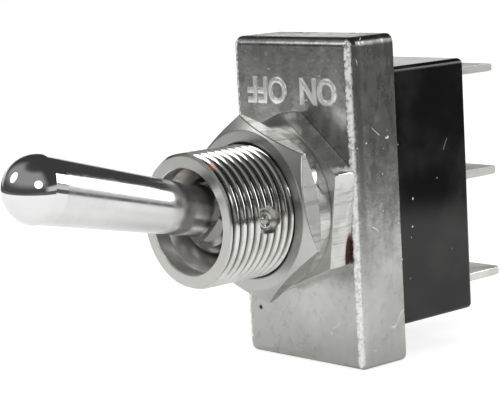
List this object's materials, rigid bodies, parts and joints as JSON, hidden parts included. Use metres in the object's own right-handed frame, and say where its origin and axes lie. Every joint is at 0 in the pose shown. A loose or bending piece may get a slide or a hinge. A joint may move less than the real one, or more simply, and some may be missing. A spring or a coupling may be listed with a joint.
{
  "type": "panel toggle switch",
  "caption": "Heavy-duty toggle switch with a threaded bushing for a round panel hole, a bat lever, a plated can over a moulded base and blade terminals.",
  "frame": {"origin": "on the bushing's axis, at the front face of the can, where the rear nut seats", "axes": "+Y from the front of the can back to the terminals, so the bushing and lever point along -Y; +Z along the can's long side, the way the tip of the lever is thrown at rest; +X across the can"},
  "size_m": [0.016, 0.0566, 0.0298],
  "materials": {
    "can_plating": "drawn steel, cloudy satin nickel plating",
    "bushing_plating": "turned brass, bright nickel plating",
    "nut_plating": "bright nickel plating over machined flats",
    "lever_chrome": "polished chrome plating",
    "pin_steel": "headed steel wire, plated",
    "fibre_sheet": "vulcanised fibre",
    "nylon": "natural nylon",
    "spring_steel": "drawn spring wire",
    "phenolic": "black moulded phenolic, dusty gloss",
    "tinned_brass": "dull tin plating over brass",
    "contact_silver": "silver alloy",
    "bare_brass": "stamped brass"
  },
  "bodies": {
    "switch_body": {"housing_can": "can_plating", "bushing": "bushing_plating", "rear_nut": "nut_plating", "front_nut": "nut_plating", "pivot_pin": "pin_steel", "insulator": "fibre_sheet", "base": "phenolic", "terminal_upper": "tinned_brass", "terminal_centre": "tinned_brass", "terminal_lower": "tinned_brass", "contact_upper": "contact_silver", "contact_lower": "contact_silver", "saddle": "bare_brass", "saddle_rivet": "contact_silver"},
    "lever": {"lever": "lever_chrome", "plunger_spring": "spring_steel"},
    "plunger": {"plunger": "nylon"},
    "rocker": {"rocker": "bare_brass", "rocker_contact_upper": "contact_silver", "rocker_contact_lower": "contact_silver"}
  },
  "joints": [
    {"name": "lever_swing", "type": "hinge", "parent": "switch_body", "child": "lever", "pos_m": [0, -0.0088, 0], "axis": [1, 0, 0], "range_deg": [0, 28]},
    {"name": "plunger_slide", "type": "slide", "parent": "lever", "child": "plunger", "axis": [0, -0.9703, 0.2419], "range_m": [0, 0.0008], "stiffness_N_per_m": 500, "springref_m": -0.001, "deforming": ["plunger_spring"]},
    {"name": "rocker_tilt", "type": "hinge", "parent": "switch_body", "child": "rocker", "pos_m": [0, 0.0106, 0], "axis": [1, 0, 0], "range_deg": [-14, 0]}
  ],
  "couplings": [
    {"joint": "rocker_tilt", "follows": "lever_swing", "ratio": -0.5}
  ]
}
